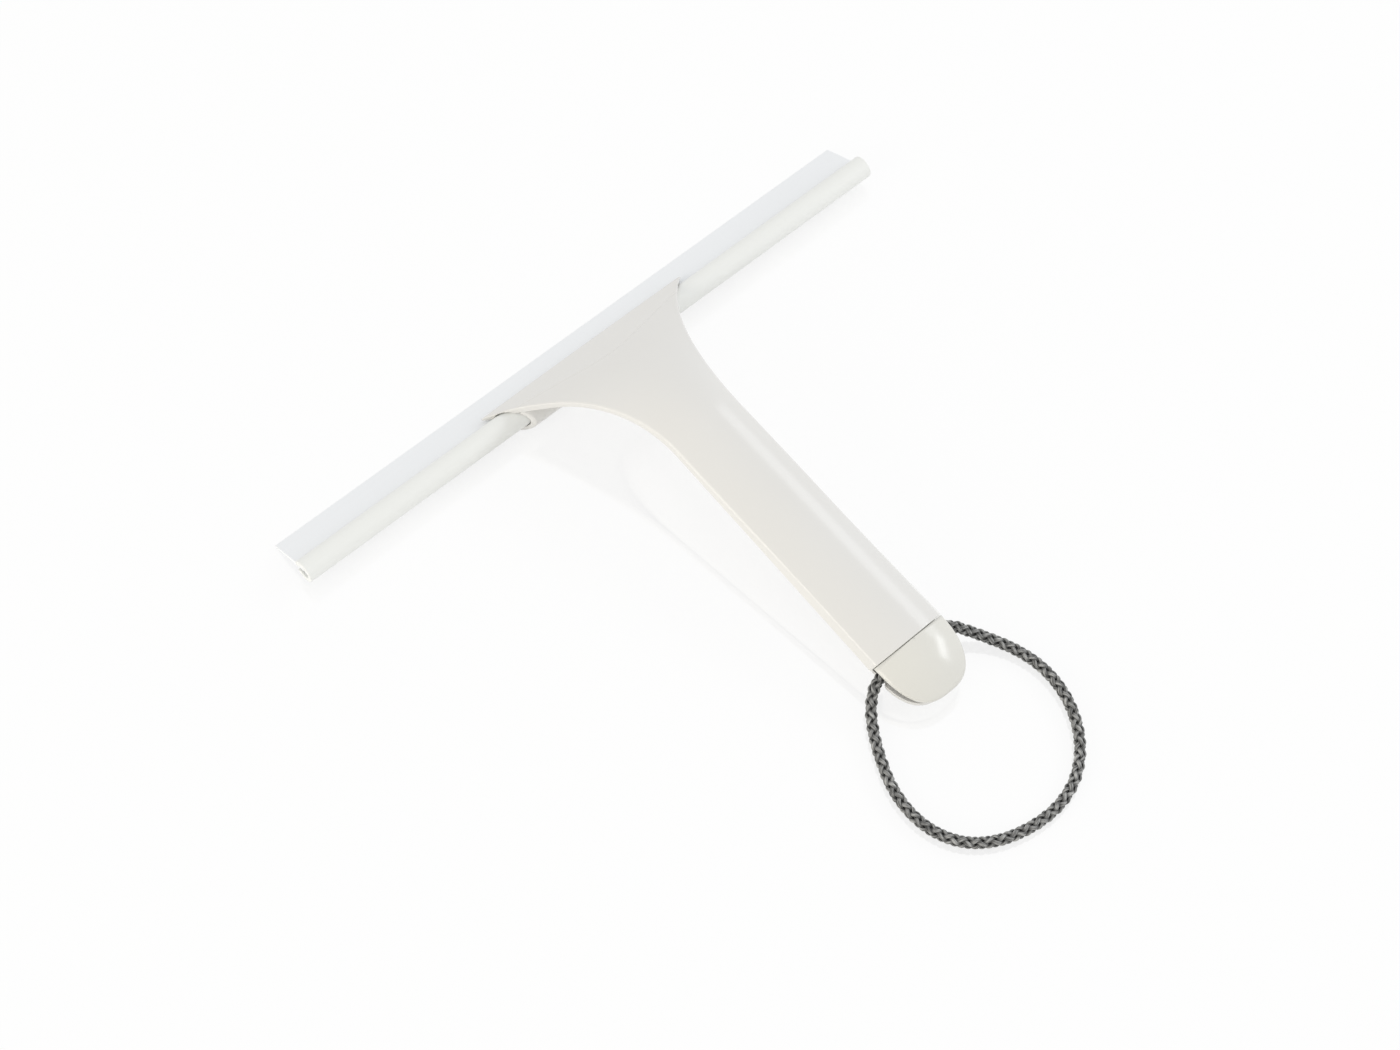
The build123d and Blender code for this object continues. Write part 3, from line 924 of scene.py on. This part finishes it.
@dataclass
class UndersideShell:
    """Trough that closes the grip from below and rests on the table at its rear."""

    form: HandleForm
    inset: float = 1.5
    cap_inset: float = 0.2  # where the rim runs out under the cap's sides
    cap_run: float = 4.0
    tip_inset: float = 1.7
    wall: float = 2.2
    depth: float = 13.5
    gap: float = 0.25
    rear_gap: float = 1.6
    rear_run: float = 8.0
    nose_root: float = 41.4
    nose_length: float = 24.0
    edge_round: float = 0.8
    scallop: float = 3.0  # how far the rim draws in at the cord
    scallop_run: float = 2.05
    ledge: float = 2.2  # width of the rim's flat top under the cap
    ledge_blend: float = 0.6
    pad_width: float = 0.25

    def half_width(self, u: Array) -> Array:
        """Half the rim's width in plan, which grows where the cap begins.

        Args:
            u: distances behind the channel axis.

        Returns:
            The half widths.
        """
        form = self.form
        step = smooth_step((u - form.seam + self.cap_run) / self.cap_run)
        inset = self.inset + (self.cap_inset - self.inset) * step
        return form.half_width(np.maximum(u, form.neck)) - inset

    def outline(self) -> tuple[Array, Array, Array]:
        """Plan outline, once round from the nose's tip.

        Both ends are superellipses, joined by the grip's sides, which draw in at the cord.

        Returns:
            Across, behind, and the place on the middle line that each point is measured from.
        """
        form = self.form
        power = 2 / form.roundness
        turn = np.linspace(0, math.pi / 2, 25)
        neck_half = form.neck_half - self.inset
        nose_x = np.sin(turn) ** power * neck_half
        nose_u = self.nose_root - np.cos(turn) ** power * self.nose_length
        side_u = np.linspace(self.nose_root, form.seam, 70)[1:-1]
        side_x = self.half_width(side_u)
        rear_x = np.cos(turn) ** power * (form.seam_half - self.cap_inset)
        rear_u = form.seam + np.sin(turn) ** power * (form.cap_length - self.tip_inset)
        x = np.concatenate([nose_x, side_x, rear_x])
        u = np.concatenate([nose_u, side_u, rear_u])
        dip = np.exp(-(((u - form.cord_behind) / self.scallop_run) ** 4))
        x = x - self.scallop * dip
        middle = np.clip(u, self.nose_root, form.seam)
        x = np.concatenate([x, -x[::-1]])
        return x, np.concatenate([u, u[::-1]]), np.concatenate([middle, middle[::-1]])

    def underside(self, x: Array, u: Array) -> Array:
        """Trough: the rim's height - depth * (1 - |x/w|^p - nose^p - rear^p), flat on the table.

        Args:
            x: distances across from the middle line.
            u: distances behind the channel axis.

        Returns:
            The heights above the table.
        """
        form = self.form
        nose = np.maximum(0, (self.nose_root - u) / self.nose_length)
        rear = np.maximum(0, (u - form.seam) / (form.cap_length - self.tip_inset))
        step = smooth_step((u - form.seam + self.rear_run) / self.rear_run)
        rim = form.top(x, u) - form.wall - self.gap - self.rear_gap * step - self.wall
        across = np.abs(x) / self.half_width(u)
        trough = 1 - across**form.roundness - nose**form.roundness - rear**form.roundness
        height = rim - self.depth * np.maximum(trough, 0)
        return 0.5 * (height + np.sqrt(height**2 + self.pad_width**2))

    def build(self) -> bpy.types.Object:
        """The trough as rings from its middle line out to its rim and back along the inside.

        Returns:
            The piece.
        """
        form = self.form
        x, u, middle = self.outline()
        reach = np.hypot(x, u - middle)
        share = np.linspace(0, 1, 26) ** 0.8
        rows = share[None, :] * (1 - self.edge_round / reach)[:, None]

        def place(ratio: Array, lift: float) -> Array:
            """Points at a share of the way out, lifted from the underside."""
            px = ratio * x[:, None]
            pu = middle[:, None] + ratio * (u - middle)[:, None]
            return form.world(px, pu, self.underside(px, pu) + lift)

        full = np.ones((len(x), 1))
        edge = place(full, 0.0)
        steps = np.linspace(0, 1, 5)[None, 1:, None]
        rim_low = edge + np.array([0, 0, self.edge_round])
        skin = place(rows, 0.0)
        bend = (1 - steps) ** 2 * skin[:, -1:] + 2 * steps * (1 - steps) * edge + steps**2 * rim_low
        outer = np.concatenate([skin, bend], 1)
        inner_rows = np.concatenate([rows, np.repeat(rows[:, -1:], 4, 1)], 1)
        inner = place(inner_rows, self.wall)
        rise = np.zeros((1, inner.shape[1], 1))
        rise[0, -4:, 0] = np.linspace(0.25, 1, 4)
        top_edge = edge + np.array([0, 0, self.wall - self.edge_round / 2])
        inner = inner * (1 - rise) + top_edge * rise
        from_edge = (1 - inner_rows) * reach[:, None]
        flat = 1 - smooth_step((from_edge - self.ledge) / self.ledge_blend)
        flat *= smooth_step((u - form.seam + self.cap_run) / self.cap_run)[:, None]
        inner[..., 2] += (top_edge[..., 2] - inner[..., 2]) * flat
        outer = np.concatenate([outer, outer[:1]], 0)
        inner = np.concatenate([inner, inner[:1]], 0)
        return make_piece("underside_moulding", [thick_sheet(outer, inner, (Border.LAST_COLUMN,))])


@dataclass
class Blade:
    """Round slotted channel and the rubber lip that it holds by a bead."""

    axis_y: float = 73.8625
    axis_z: float = 6.6
    length: float = 240.0
    radius: float = 4.0
    cavity: float = 2.3
    slot_half: float = 1.15
    droop: float = 20.5
    lip_reach: float = 17.5073
    lip_inset: float = 0.6
    bead: float = 2.0
    bead_back: float = 1.2
    bead_front: float = 0.3
    bead_draft: float = 0.1  # lean of the bead's flats
    root_half: float = 0.9
    edge_half: float = 0.5
    edge_bevel: float = 0.12
    end_round: float = 0.25

    def in_lip(self, along: Array, up: Array) -> Array:
        """(Y, Z) of points in the lip's own plane, along it from the channel axis, and up.

        Args:
            along: distances from the channel axis to the wiping edge.
            up: distances above the lip's middle plane.

        Returns:
            Points of shape (..., 2).
        """
        turn = math.radians(self.droop)
        y = self.axis_y + along * math.cos(turn) + up * math.sin(turn)
        z = self.axis_z - along * math.sin(turn) + up * math.cos(turn)
        return np.stack([y, z], -1)

    def carried(self, upper: Array, lower: Array, half_length: float) -> Patch:
        """A closed section carried along X, with a small round at both ends.

        Args:
            upper: (n, 2) points in the lip's plane on one side of the section.
            lower: the points across from them.
            half_length: half the piece's length.

        Returns:
            The piece as one patch.
        """
        turn = np.linspace(0, math.pi / 2, 5)
        ends = half_length - self.end_round * (1 - np.cos(turn))
        drawn = self.end_round * (1 - np.sin(turn))
        x = np.concatenate([-ends, np.linspace(-1, 1, 41)[1:-1] * (ends[-1] - 1), ends[::-1]])
        inset = np.concatenate([drawn, np.zeros(39), drawn[::-1]])[:, None, None]
        thick = np.linalg.norm(upper - lower, axis=1)[None, :, None]
        share = np.minimum(inset / np.maximum(thick, 1e-6), 0.3)
        rows = [upper * (1 - share) + lower * share, lower * (1 - share) + upper * share]
        faces = []
        for row in rows:
            yz = self.in_lip(row[..., 0], row[..., 1])
            along = np.broadcast_to(x[:, None], yz.shape[:2])
            faces.append(np.concatenate([along[..., None], yz], -1))
        return thick_sheet(faces[0], faces[1])

    def channel(self) -> bpy.types.Object:
        """The channel: an arc from one edge of the slot round to the other, of even wall.

        Returns:
            The channel as one piece.
        """
        share = np.linspace(-1, 1, 73)[:, None]
        walls = []
        for radius in (self.radius, self.cavity):
            stop = math.pi - math.asin(self.slot_half / radius)
            angle = share * stop + math.pi
            walls.append(np.concatenate([radius * np.cos(angle), radius * np.sin(angle)], 1))
        return make_piece("channel_extrusion", [self.carried(walls[0], walls[1], self.length / 2)])

    def lip(self) -> bpy.types.Object:
        """The lip: a flat bead, a flat root and a blade that thins evenly to a square edge.

        Returns:
            The lip as one piece.
        """
        start, stop = math.acos(-self.bead_back / self.bead), math.acos(self.bead_front / self.bead)
        angle = np.linspace(start, stop, 12)
        back = -self.bead_back - self.bead_draft
        bead_x = np.concatenate([[back, back], self.bead * np.cos(angle)])
        bead_y = np.concatenate([[0.03, 0.5], self.bead * np.sin(angle)])
        foot = self.bead_front + self.bead_draft
        tail = np.concatenate([np.linspace(foot, self.radius, 4), [self.lip_reach - 0.3]])
        slope = (tail - self.radius) / (self.lip_reach - self.radius)
        half = self.root_half - np.clip(slope, 0, 1) * (self.root_half - self.edge_half)
        along = np.concatenate([bead_x, tail, [self.lip_reach - 0.05, self.lip_reach]])
        up = np.concatenate([bead_y, half, [self.edge_half, self.edge_half - self.edge_bevel]])
        half_length = self.length / 2 - self.lip_inset
        chain = np.stack([along, up], -1)
        patch = self.carried(chain, chain * np.array([1.0, -1.0]), half_length)
        return make_piece("wiper_lip_extrusion", [patch])


@dataclass
class HangingCord:
    """Braided cord that leaves both sides of the seam and lies in a loop on the table."""

    exit_y: float = -72.9375
    knot_half: float = 5.2
    exit_run: float = 9.0
    height: float = 9.9
    radius: float = 2.0
    strands: int = 4  # in each direction
    turn_mm: float = 15.9  # a strand's way along the cord in one turn
    lay_radius: float = 1.2
    lift: float = 0.36
    strand_half_width: float = 0.62
    strand_half_height: float = 0.43
    sides: int = 8
    core: float = 0.75

    def route(self) -> Array:
        """Points of the route in metres: from the knot, out, round on the table, and back.

        Returns:
            Points of shape (n, 3).
        """
        free = np.array(
            [
                (-19.8, 3.3, 3.0),
                (-24.5, 9.6, 0.4),
                (-29.1, 17.6, 0.05),
                (-33.2, 26.6, 0.05),
                (-35.1, 36.3, 0.05),
                (-34.1, 45.8, 0.05),
                (-29.9, 54.2, 0.05),
                (-22.5, 60.2, 0.05),
                (-12.5, 63.7, 0.05),
                (-1.6, 64.7, 0.05),
                (8.8, 62.2, 0.05),
                (17.7, 56.2, 0.05),
                (24.4, 47.7, 0.05),
                (28.5, 37.9, 0.05),
                (29.6, 27.9, 0.05),
                (27.8, 18.7, 0.15),
                (24.0, 10.7, 1.0),
                (19.4, 4.2, 3.4),
            ]
        )
        lying = free * [1, -1, 1] + [0, self.exit_y, self.radius]
        ends = np.array([self.knot_half, self.knot_half + self.exit_run])
        level = np.stack([ends, np.full(2, self.exit_y), np.full(2, self.height)], -1)
        return np.concatenate([level * [-1, 1, 1], lying, level[::-1]]) * MM

    def centreline(self) -> Array:
        """Points along a smooth NURBS spline on the route, in metres.

        Returns:
            Points of shape (n, 3).
        """
        route = self.route()
        curve = bpy.data.curves.new("cord_line", "CURVE")
        curve.dimensions = "3D"
        curve.resolution_u = 30
        spline = curve.splines.new("NURBS")
        spline.points.add(len(route) - 1)
        flat = np.concatenate([route, np.ones((len(route), 1))], 1)
        spline.points.foreach_set("co", flat.ravel())
        spline.order_u = 3
        spline.use_endpoint_u = True
        holder = bpy.data.objects.new("cord_line", curve)
        mesh = bpy.data.meshes.new_from_object(holder)
        points = np.zeros(len(mesh.vertices) * 3)
        mesh.vertices.foreach_get("co", points)
        bpy.data.objects.remove(holder)
        bpy.data.curves.remove(curve)
        bpy.data.meshes.remove(mesh)
        return points.reshape(-1, 3)

    def strand(self, line: Array, hand: int, number: int) -> Patch:
        """One strand: a helix that goes over and under the strands of the other hand.

        The angle grows by a full turn in turn_mm. The radius swings once up and down for every
        two strands that it crosses, and the two hands swing in opposite ways.

        Args:
            line: centreline in millimetres.
            hand: 1 or -1, the way the helix turns.
            number: which of the strands of that hand.

        Returns:
            The strand as a closed tube.
        """
        tangent, side, up = level_frame(line)
        way = way_along(line)
        angle = hand * 2 * math.pi * way / self.turn_mm + 2 * math.pi * number / self.strands
        swing = np.cos(2 * math.pi * self.strands * way / self.turn_mm)
        radius = (self.lay_radius + hand * self.lift * swing)[:, None]
        out = side * np.cos(angle)[:, None] + up * np.sin(angle)[:, None]
        around = up * np.cos(angle)[:, None] - side * np.sin(angle)[:, None]
        lay = hand * 2 * math.pi * self.lay_radius / self.turn_mm
        broad = unit(around - lay * tangent)
        rings = oval_rings(
            line + out * radius,
            broad * self.strand_half_width,
            out * self.strand_half_height,
            self.sides,
        )
        depth = np.linalg.norm(rings - line[:, None, :], axis=-1) / self.radius
        return yarn_tube(rings, depth, 31.0 * number + 7.0 * hand)

    def build(self) -> tuple[bpy.types.Object, Array]:
        """Braid and core as one piece.

        Returns:
            The cord and its centreline in metres.
        """
        path = self.centreline()
        line = path / MM
        patches = [
            self.strand(line, hand, number)
            for hand in (1, -1)
            for number in range(self.strands)
        ]
        _, side, up = level_frame(line)
        rings = oval_rings(line, side * self.core, up * self.core, self.sides)
        # the core has depth 0 everywhere, so it is painted wholly in the braid's painted shade
        # colour
        patches.append(yarn_tube(rings, np.zeros(rings.shape[:2]), 0.0))
        return make_piece("braided_cord", patches, flats=False), path


def way_along(line: Array) -> Array:
    """Distance from the start of a line to each of its points."""
    return np.concatenate([[0.0], np.cumsum(np.linalg.norm(np.diff(line, axis=0), axis=1))])


def level_frame(line: Array) -> tuple[Array, Array, Array]:
    """Unit directions at each point of a line.

    Args:
        line: (n, 3) points.

    Returns:
        The way along the line, level to its side, and up across both.
    """
    tangent = unit(np.gradient(line, axis=0))
    side = unit(np.cross(tangent, [0.0, 0.0, 1.0]))
    return tangent, side, np.cross(side, tangent)


def oval_rings(line: Array, a: Array, b: Array, sides: int) -> Array:
    """Rings about a line: each point is middle + a cos t + b sin t.

    Args:
        line: (n, 3) middle points.
        a: (n, 3) first half axes.
        b: (n, 3) second half axes.
        sides: number of sides of a ring.

    Returns:
        Points of shape (n, sides + 1, 3), the last of each ring on the first.
    """
    turn = np.linspace(0, 2 * math.pi, sides + 1)[None, :, None]
    return line[:, None, :] + np.cos(turn) * a[:, None, :] + np.sin(turn) * b[:, None, :]


def yarn_tube(rings: Array, depth: Array, shift: float) -> Patch:
    """Closed tube with its lay and depth: the end rings are drawn to their middles.

    Args:
        rings: (n, m, 3) points in millimetres.
        depth: (n, m) nearness to the cord's outside.
        shift: start of the lay along the tube, so that tubes differ.

    Returns:
        The tube as one patch.
    """
    first, last = rings[[0, -1], 1:].mean(1)[:, None, None, :].repeat(rings.shape[1], 2)
    closed = np.concatenate([first, rings, last])
    along = np.pad(way_along(rings.mean(1)), 1, mode="edge") + shift
    around = np.linspace(0, 1, rings.shape[1])
    lay = np.stack(np.broadcast_arrays(along[:, None], around[None, :]), -1)
    quads = grid_quads(*closed.shape[:2])
    edge = np.pad(depth, ((1, 1), (0, 0)), mode="edge")
    return Patch(closed.reshape(-1, 3), quads, lay.reshape(-1, 2), edge.ravel())


@dataclass
class CordKnot:
    """Overhand knot that joins the cord's ends between the anchor plates."""

    middle: tuple[float, float, float] = (0.0, -72.9375, 9.9)
    half_length: float = 3.55
    half_depth: float = 2.0
    cord: float = 1.55
    sides: int = 12

    def build(self) -> bpy.types.Object:
        """A trefoil line, x = sin t + 2 sin 2t and y = cos t - 2 cos 2t, drawn tight, as a tube.

        Returns:
            The piece.
        """
        t = np.linspace(0, 2 * math.pi, 161)
        line = np.stack(
            [
                (np.sin(t) + 2 * np.sin(2 * t)) / 3 * self.half_length,
                (np.cos(t) - 2 * np.cos(2 * t)) / 3 * self.half_depth,
                -np.sin(3 * t) * self.half_depth * 0.9,
            ],
            -1,
        ) + np.array(self.middle)
        tangent = np.gradient(line, axis=0)
        tangent[0] = tangent[-1] = line[1] - line[-2]
        tangent = unit(tangent)
        a = unit(np.cross(tangent, line - np.array(self.middle)))
        rings = oval_rings(line, self.cord * a, self.cord * np.cross(a, tangent), self.sides)
        lay = np.stack(
            np.broadcast_arrays(
                way_along(line)[:, None], np.linspace(0, 3, self.sides + 1)[None, :]
            ),
            -1,
        )
        quads = grid_quads(*rings.shape[:2])
        depth = np.ones(rings.shape[0] * rings.shape[1])
        patch = Patch(rings.reshape(-1, 3), quads, lay.reshape(-1, 2), depth)
        return make_piece("tied_knot", [patch], flats=False)


@dataclass
class Studio:
    """Pale glossy floor, soft light and the photograph's camera."""

    target_mm: tuple[float, float, float] = (-14.1, 7.34, 0.0)
    azimuth: float = -41.8
    elevation: float = 59.0
    distance_mm: float = 842.0
    focal_px: float = 2657.0
    frame_px: float = 1400.0
    sensor_mm: float = 36.0
    sky_light: float = 0.765
    floor_size_m: float = 6.0
    floor_glow: float = 0.8
    floor_mirror: float = 0.5  # of what the glow leaves

    def camera(self) -> None:
        """A camera on a sphere about the target, at the fitted focal length."""
        data = bpy.data.cameras.new("photo_camera")
        data.sensor_width = self.sensor_mm
        data.lens = self.focal_px / self.frame_px * self.sensor_mm
        data.clip_start = 0.01
        camera = bpy.data.objects.new("photo_camera", data)
        turn, rise = math.radians(self.azimuth), math.radians(self.elevation)
        back = Vector(
            (
                math.sin(turn) * math.cos(rise),
                -math.cos(turn) * math.cos(rise),
                math.sin(rise),
            )
        )
        camera.location = Vector(self.target_mm) * MM + back * self.distance_mm * MM
        camera.rotation_euler = back.to_track_quat("Z", "Y").to_euler()
        bpy.context.scene.collection.objects.link(camera)
        bpy.context.scene.camera = camera

    def seen_as_background(self, tree: bpy.types.NodeTree) -> bpy.types.NodeSocket:
        """1 for camera, glossy and transmission rays, and 0 for the rest.

        Args:
            tree: node tree that gets the nodes.

        Returns:
            The output socket.
        """
        path = add_node(tree, "ShaderNodeLightPath")
        first = add_node(
            tree,
            "ShaderNodeMath",
            {"operation": "MAXIMUM"},
            {0: path.outputs["Is Camera Ray"], 1: path.outputs["Is Glossy Ray"]},
        )
        both = add_node(
            tree,
            "ShaderNodeMath",
            {"operation": "MAXIMUM"},
            {0: first.outputs[0], 1: path.outputs["Is Transmission Ray"]},
        )
        return both.outputs[0]

    def world(self) -> None:
        """Even white surroundings, as in a light tent."""
        world = bpy.data.worlds.new("studio_white")
        world.use_nodes = True
        tree = world.node_tree
        tree.nodes.clear()
        level = add_node(
            tree,
            "ShaderNodeMix",
            inputs={0: self.seen_as_background(tree), 2: self.sky_light, 3: 1.0},
        )
        white = add_node(
            tree,
            "ShaderNodeBackground",
            inputs={"Color": linear("#ffffff"), "Strength": level.outputs[0]},
        )
        output = add_node(tree, "ShaderNodeOutputWorld")
        tree.links.new(white.outputs[0], output.inputs["Surface"])
        bpy.context.scene.world = world

    def floor(self) -> None:
        """A polished white table: it shows as white, keeps a soft shadow and mirrors faintly."""
        material, tree, output = new_material("polished_white_table")
        matt = add_node(tree, "ShaderNodeBsdfDiffuse", inputs={"Color": linear("#f6f6f5")})
        mirror = add_node(
            tree,
            "ShaderNodeBsdfAnisotropic",
            inputs={"Color": linear("#ffffff"), "Roughness": 0.04},
        )
        polish = add_node(
            tree,
            "ShaderNodeMixShader",
            inputs={0: self.floor_mirror, 1: matt.outputs[0], 2: mirror.outputs[0]},
        )
        glow = add_node(
            tree, "ShaderNodeEmission", inputs={"Color": linear("#ffffff"), "Strength": 1.0}
        )
        shine = add_node(
            tree,
            "ShaderNodeMath",
            {"operation": "MULTIPLY"},
            {0: self.seen_as_background(tree), 1: self.floor_glow},
        )
        blend = add_node(
            tree,
            "ShaderNodeMixShader",
            inputs={0: shine.outputs[0], 1: polish.outputs[0], 2: glow.outputs[0]},
        )
        tree.links.new(blend.outputs[0], output.inputs["Surface"])
        half = self.floor_size_m / 2
        corners = [(-half, -half, 0), (half, -half, 0), (half, half, 0), (-half, half, 0)]
        mesh = bpy.data.meshes.new("table")
        mesh.from_pydata(corners, [], [(0, 1, 2, 3)])
        mesh.materials.append(material)
        table = bpy.data.objects.new("table", mesh)
        table.location.z = -0.0002
        bpy.context.scene.collection.objects.link(table)

    def lamp(
        self,
        name: str,
        toward: tuple[float, float, float],
        size: tuple[float, float],
        watts: float,
        colour: str,
    ) -> None:
        """A softbox that faces the part.

        Args:
            name: name of the lamp.
            toward: where it stands, in metres from the part.
            size: its width and height in metres.
            watts: its power.
            colour: its colour, as sRGB hex.
        """
        data = bpy.data.lights.new(name, "AREA")
        data.shape = "RECTANGLE"
        data.size, data.size_y = size
        data.energy = watts
        data.color = linear(colour)[:3]
        lamp = bpy.data.objects.new(name, data)
        lamp.location = Vector(toward)
        lamp.rotation_euler = Vector(toward).to_track_quat("Z", "Y").to_euler()
        bpy.context.scene.collection.objects.link(lamp)

    def build(self) -> None:
        """Sets up camera, surroundings, floor and lamps."""
        bpy.context.scene.view_settings.view_transform = "Standard"
        self.camera()
        self.world()
        self.floor()
        self.lamp("left_softbox", (-1.89, 0.0, 0.66), (1.2, 1.2), 12.5, "#fff9ec")
        self.lamp("grip_softbox", (2.18, 0.11, 1.42), (1.0, 0.87), 5.2, "#f7faff")
        self.lamp("cap_softbox", (2.04, -1.0, 1.26), (1.35, 0.5), 12.5, "#f7faff")


def dress(
    piece: bpy.types.Object, material: bpy.types.Material, body: str, node: str
) -> None:
    """Gives a piece its material and its place in the frame.

    Args:
        piece: the new piece.
        material: its finish.
        body: CAD body that it rides on.
        node: CAD node that it stands for.
    """
    piece.data.materials.append(material)
    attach(piece, body)
    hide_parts(node)
    LOG.info("%s: %d faces, rides on %s", piece.name, len(piece.data.polygons), body)


def corners(box: tuple[Vector, Vector]) -> list[list[float]]:
    """A box as plain lists of numbers."""
    return [[float(value) for value in corner] for corner in box]


def main() -> None:
    logging.basicConfig(level=logging.INFO, format="%(message)s")
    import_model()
    form = HandleForm()
    abs_plastic = HANDLE_FINISH.material()
    dress(HandleShell(form).build(), abs_plastic, "handle", "handle_shell")
    dress(UndersideShell(form).build(), abs_plastic, "handle", "underside_shell")
    dress(EndCap(form).build(), CAP_FINISH.material(), "cap", "end_cap")
    blade = Blade()
    dress(blade.channel(), CHANNEL_FINISH.material(), "blade", "blade_channel")
    dress(blade.lip(), LIP_FINISH.material(), "lip", "wiper_lip")
    yarn = CORD_FINISH.material()
    knot = CordKnot().build()
    dress(knot, yarn, "handle", "cord_knot")
    cord, path = HangingCord().build()
    dress(cord, yarn, "handle", "hanging_cord")
    Studio().build()


if __name__ == "__main__":
    main()
